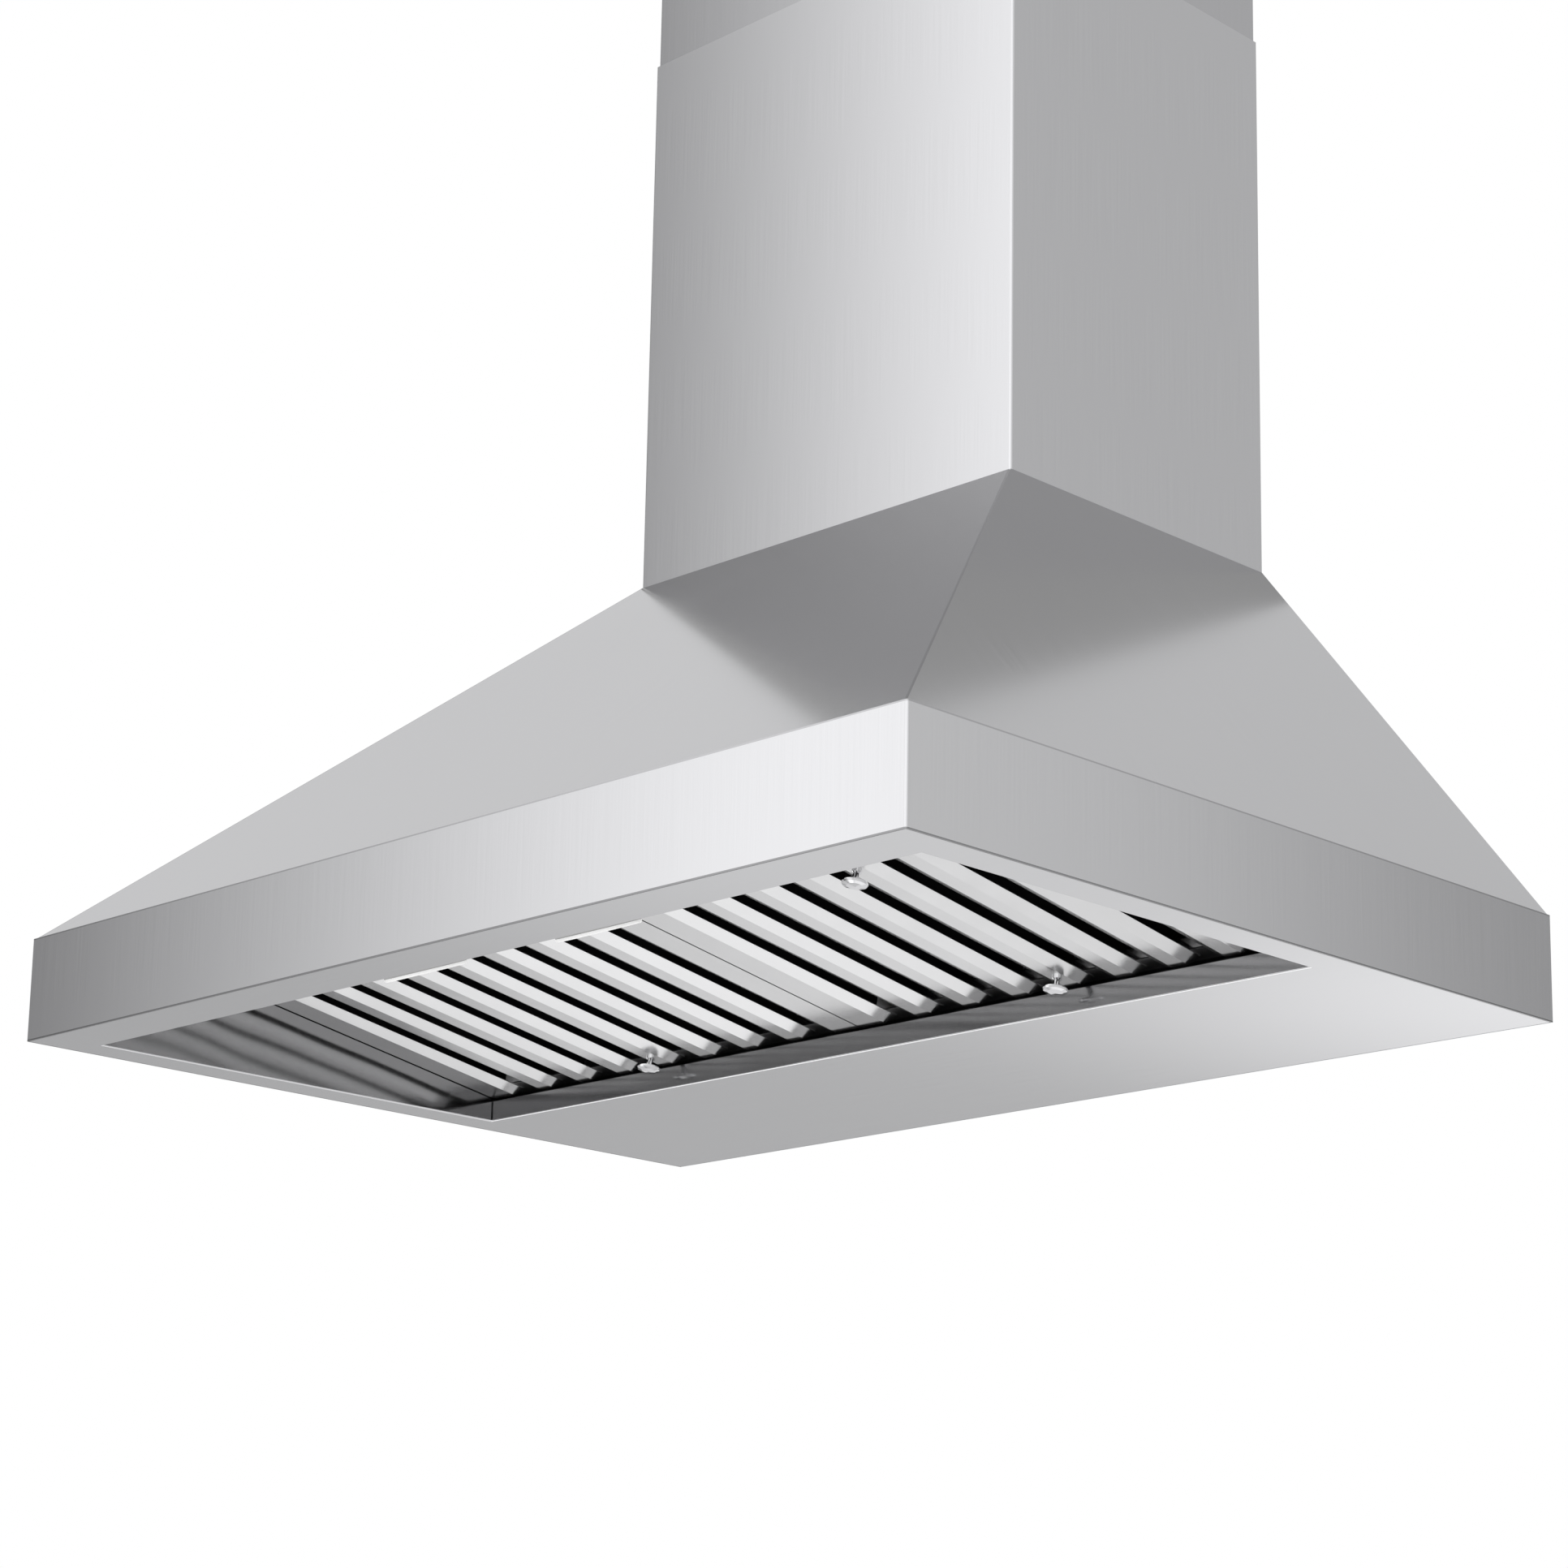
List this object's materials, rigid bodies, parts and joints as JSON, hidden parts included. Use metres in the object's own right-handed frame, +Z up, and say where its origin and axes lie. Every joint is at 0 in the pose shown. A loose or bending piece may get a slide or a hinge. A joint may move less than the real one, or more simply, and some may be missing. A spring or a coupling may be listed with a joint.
{
  "type": "range hood",
  "caption": "Wall canopy hood of brushed steel: upright band, pyramid top, telescoping chimney, sloping baffle filters with pull knobs and a blower inside.",
  "frame": {"origin": "middle of the underside's outline, at its lowest plane", "axes": "+X along the front, to the right as one faces the hood; +Y towards the wall; +Z up"},
  "size_m": [0.914, 0.686, 1.069],
  "materials": {
    "brushed_steel": "vertical brushed grain",
    "filter_steel": "smooth bright",
    "inner_steel": "dull",
    "galvanised": "spangled zinc",
    "aluminium": "mill",
    "bright_steel": "bright",
    "chrome": "polished",
    "lens": "frosted",
    "led": "matt",
    "motor_paint": "satin black",
    "wheel_steel": "zinc plated",
    "black_plastic": "matt",
    "white_plastic": "satin"
  },
  "bodies": {
    "hood": {"canopy_band": "brushed_steel", "canopy_pyramid": "brushed_steel", "back_panel": "galvanised", "underside_pan": "brushed_steel", "light_panel": "brushed_steel", "filter_channel": "inner_steel", "grease_gutter": "inner_steel", "top_plate": "galvanised", "lamp_left": "chrome", "lamp_right": "chrome", "led_left": "led", "led_right": "led", "lens_left": "lens", "lens_right": "lens", "control_plate": "chrome", "control_box": "black_plastic", "blower_scroll": "galvanised", "inlet_plate_left": "galvanised", "inlet_plate_right": "galvanised", "blower_brackets": "galvanised", "motor": "motor_paint", "motor_bracket": "galvanised", "capacitor": "white_plastic", "capacitor_clamp": "bright_steel", "duct_collar": "galvanised", "collar_screws": "bright_steel", "damper_pins": "bright_steel", "junction_box": "galvanised", "junction_cover": "galvanised", "terminal_block": "white_plastic", "cable_gland": "black_plastic", "chimney_lower": "brushed_steel"},
    "filter_left": {"filter_frame_left": "filter_steel", "lower_baffles_left": "filter_steel", "upper_baffles_left": "inner_steel", "knobs_left": "chrome"},
    "filter_right": {"filter_frame_right": "filter_steel", "lower_baffles_right": "filter_steel", "upper_baffles_right": "inner_steel", "knobs_right": "chrome"},
    "wheel": {"blower_wheel": "wheel_steel", "motor_shaft": "bright_steel"},
    "flap_front": {"damper_flap_front": "aluminium"},
    "flap_rear": {"damper_flap_rear": "aluminium"},
    "upper_cover": {"chimney_upper": "brushed_steel", "chimney_bracket": "galvanised", "cover_screws": "bright_steel"},
    "button_off": {"button_off": "chrome"},
    "button_low": {"button_low": "chrome"},
    "button_medium": {"button_medium": "chrome"},
    "button_high": {"button_high": "chrome"},
    "button_light": {"button_light": "chrome"}
  },
  "joints": [
    {"name": "filter_left_push", "type": "slide", "parent": "hood", "child": "filter_left", "axis": [0, -0.9848, 0.1736], "range_m": [0, 0.02]},
    {"name": "filter_right_push", "type": "slide", "parent": "hood", "child": "filter_right", "axis": [0, -0.9848, 0.1736], "range_m": [0, 0.02]},
    {"name": "wheel_spin", "type": "hinge", "parent": "hood", "child": "wheel", "pos_m": [0, 0.09625, 0.2528], "axis": [1, 0, 0], "continuous": true},
    {"name": "flap_front_swing", "type": "hinge", "parent": "hood", "child": "flap_front", "pos_m": [0, 0.186, 0.43775], "axis": [-1, 0, 0], "range_deg": [0, 80]},
    {"name": "flap_rear_swing", "type": "hinge", "parent": "hood", "child": "flap_rear", "pos_m": [0, 0.198, 0.43775], "axis": [1, 0, 0], "range_deg": [0, 80]},
    {"name": "upper_cover_slide", "type": "slide", "parent": "hood", "child": "upper_cover", "axis": [0, 0, 1], "range_m": [-0.15, 0.15]},
    {"name": "button_off_press", "type": "slide", "parent": "hood", "child": "button_off", "axis": [0, -0.3584, 0.9336], "range_m": [0, 0.002], "stiffness_N_per_m": 250},
    {"name": "button_low_press", "type": "slide", "parent": "hood", "child": "button_low", "axis": [0, -0.3584, 0.9336], "range_m": [0, 0.002], "stiffness_N_per_m": 250},
    {"name": "button_medium_press", "type": "slide", "parent": "hood", "child": "button_medium", "axis": [0, -0.3584, 0.9336], "range_m": [0, 0.002], "stiffness_N_per_m": 250},
    {"name": "button_high_press", "type": "slide", "parent": "hood", "child": "button_high", "axis": [0, -0.3584, 0.9336], "range_m": [0, 0.002], "stiffness_N_per_m": 250},
    {"name": "button_light_press", "type": "slide", "parent": "hood", "child": "button_light", "axis": [0, -0.3584, 0.9336], "range_m": [0, 0.002], "stiffness_N_per_m": 250}
  ]
}
